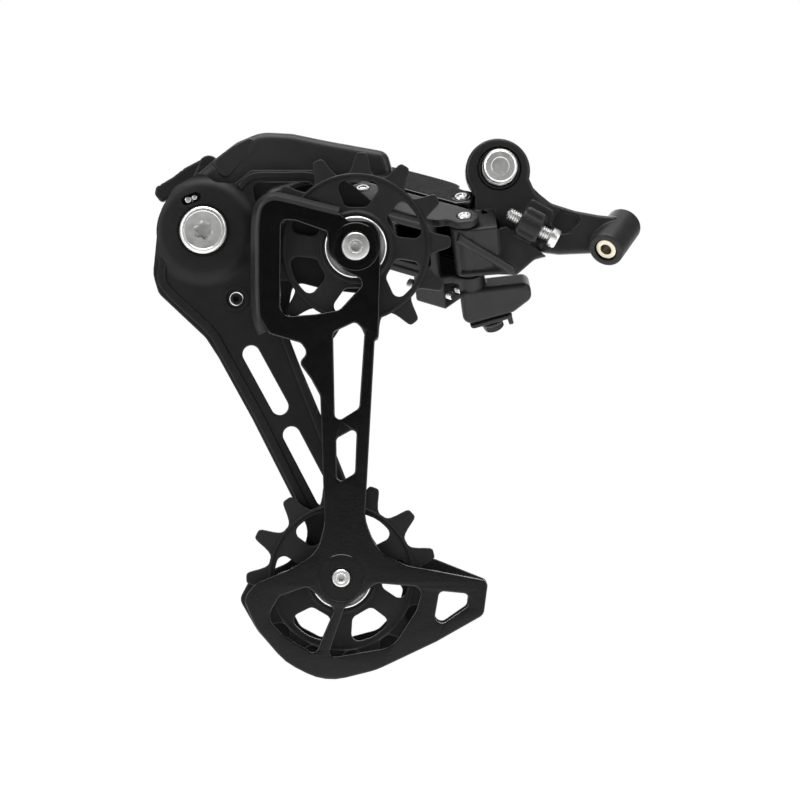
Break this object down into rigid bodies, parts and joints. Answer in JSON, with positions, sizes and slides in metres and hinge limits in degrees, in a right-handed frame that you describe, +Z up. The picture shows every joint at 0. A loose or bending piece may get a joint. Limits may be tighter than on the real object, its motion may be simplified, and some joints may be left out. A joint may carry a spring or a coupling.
{
  "type": "rear derailleur",
  "caption": "Rear bicycle derailleur with a parallelogram linkage, a long sprung cage, two toothed pulleys and a clutch switch lever.",
  "frame": {"origin": "on the mounting bolt's axis, in the plane of the upper knuckle's face that meets the hanger", "axes": "+X to the rear of the bike, +Y outboard, +Z up"},
  "size_m": [0.1432, 0.0586, 0.1573],
  "materials": {
    "charcoal": "satin",
    "gloss_black": "gloss",
    "satin_black": "satin",
    "dark_plastic": "matte",
    "silver": "satin",
    "spring_steel": "satin",
    "brass": "satin",
    "black_rubber": "matte"
  },
  "bodies": {
    "mounting_bolt": {"mounting_bolt": "silver", "mounting_bush": "black_rubber"},
    "b_knuckle": {"b_knuckle": "charcoal", "cable_ferrule": "brass", "outer_link_b_pin": "silver", "inner_link_b_pin": "silver"},
    "b_screw": {"b_tension_screw": "silver"},
    "outer_link": {"outer_link": "charcoal"},
    "inner_link": {"inner_link": "charcoal", "cable_clamp_plate": "charcoal", "cable_clamp_bolt": "charcoal"},
    "high_limit": {"high_limit_screw": "silver"},
    "low_limit": {"low_limit_screw": "silver"},
    "p_knuckle": {"p_knuckle": "charcoal", "outer_link_p_pin": "silver", "inner_link_p_pin": "silver", "return_spring": "spring_steel", "one_way_clutch": "spring_steel", "friction_band": "spring_steel", "cover_gasket": "black_rubber", "clutch_cover": "gloss_black", "cover_screw_1": "silver", "cover_screw_2": "silver", "cover_screw_3": "silver", "p_seal_ring": "black_rubber"},
    "switch": {"switch_lever": "dark_plastic", "switch_cam": "spring_steel"},
    "cage": {"outer_cage_plate": "satin_black", "inner_cage_plate": "gloss_black", "p_axle": "silver", "p_axle_bolt": "silver", "cage_stop_pin": "satin_black", "p_tension_spring": "spring_steel", "guide_pulley_bush": "silver", "guide_seal_inner": "silver", "guide_seal_outer": "silver", "tension_pulley_bush": "silver", "tension_seal_inner": "silver", "tension_seal_outer": "silver", "guide_pulley_bolt": "silver", "tension_pulley_bolt": "silver"},
    "guide_pulley": {"guide_pulley": "dark_plastic"},
    "tension_pulley": {"tension_pulley": "dark_plastic"}
  },
  "joints": [
    {"name": "knuckle_swing", "type": "hinge", "parent": "mounting_bolt", "child": "b_knuckle", "pos_m": [0, 0, 0], "axis": [0, -1, 0], "range_deg": [0, 30]},
    {"name": "b_screw_advance", "type": "slide", "parent": "b_knuckle", "child": "b_screw", "axis": [-0.8798, 0, 0.4754], "range_m": [-0.003, 0.0026]},
    {"name": "outer_link_swing", "type": "hinge", "parent": "b_knuckle", "child": "outer_link", "pos_m": [-0.01, 0.008, -0.017], "axis": [-0.1, -0.5001, 0.8602], "range_deg": [0, 70], "stiffness_Nm_per_rad": 0.4, "springref_deg": -68.75},
    {"name": "inner_link_swing", "type": "hinge", "parent": "b_knuckle", "child": "inner_link", "pos_m": [-0.00928, -0.00282, -0.02321], "axis": [-0.1, -0.5001, 0.8602], "range_deg": [0, 70]},
    {"name": "p_knuckle_swing", "type": "hinge", "parent": "outer_link", "child": "p_knuckle", "pos_m": [-0.03952, 0.03002, -0.00763], "axis": [-0.1, -0.5001, 0.8602], "range_deg": [-70, 0]},
    {"name": "high_limit_advance", "type": "slide", "parent": "inner_link", "child": "high_limit", "axis": [0.7769, -0.5794, -0.2465], "range_m": [-0.001, 0.0015]},
    {"name": "low_limit_advance", "type": "slide", "parent": "inner_link", "child": "low_limit", "axis": [0.7769, -0.5794, -0.2465], "range_m": [-0.001, 0.0015]},
    {"name": "switch_turn", "type": "hinge", "parent": "p_knuckle", "child": "switch", "pos_m": [-0.0848, 0.02, 0.0014], "axis": [0, 1, 0], "range_deg": [0, 75]},
    {"name": "cage_pivot", "type": "hinge", "parent": "p_knuckle", "child": "cage", "pos_m": [-0.0852, 0, -0.0185], "axis": [0, 1, 0], "range_deg": [0, 110], "stiffness_Nm_per_rad": 0.25, "springref_deg": -114.59},
    {"name": "guide_pulley_spin", "type": "hinge", "parent": "cage", "child": "guide_pulley", "pos_m": [-0.0414, -0.012, -0.0236], "axis": [0, 1, 0], "continuous": true},
    {"name": "tension_pulley_spin", "type": "hinge", "parent": "cage", "child": "tension_pulley", "pos_m": [-0.0455, -0.012, -0.1178], "axis": [0, 1, 0], "continuous": true}
  ],
  "couplings": [
    {"joint": "inner_link_swing", "follows": "outer_link_swing", "ratio": 1},
    {"joint": "p_knuckle_swing", "follows": "outer_link_swing", "ratio": -1}
  ]
}
